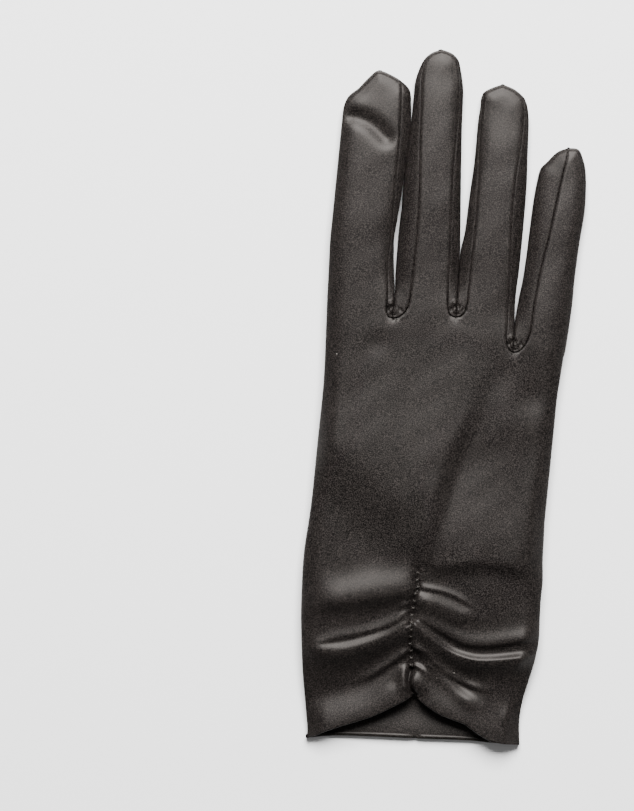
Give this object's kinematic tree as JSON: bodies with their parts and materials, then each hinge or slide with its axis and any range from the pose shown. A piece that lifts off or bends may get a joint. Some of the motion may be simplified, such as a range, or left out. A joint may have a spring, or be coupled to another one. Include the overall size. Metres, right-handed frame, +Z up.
{
  "type": "dress glove",
  "caption": "Wrist length dress glove in black stretch satin for the right hand, lying flat with its thumb folded under the palm and the back of its wrist gathered.",
  "frame": {"origin": "middle of the underside, on the surface that the glove lies on", "axes": "+Y towards the fingertips, +Z up out of the back of the hand, index finger on the -X side"},
  "size_m": [0.0948, 0.2312, 0.0141],
  "materials": {
    "satin": "black stretch satin, soft gloss"
  },
  "bodies": {
    "root": {"trank": "satin", "fourchette_index_middle": "satin", "fourchette_middle_ring": "satin", "fourchette_ring_little": "satin", "thumb": "satin"}
  },
  "joints": []
}
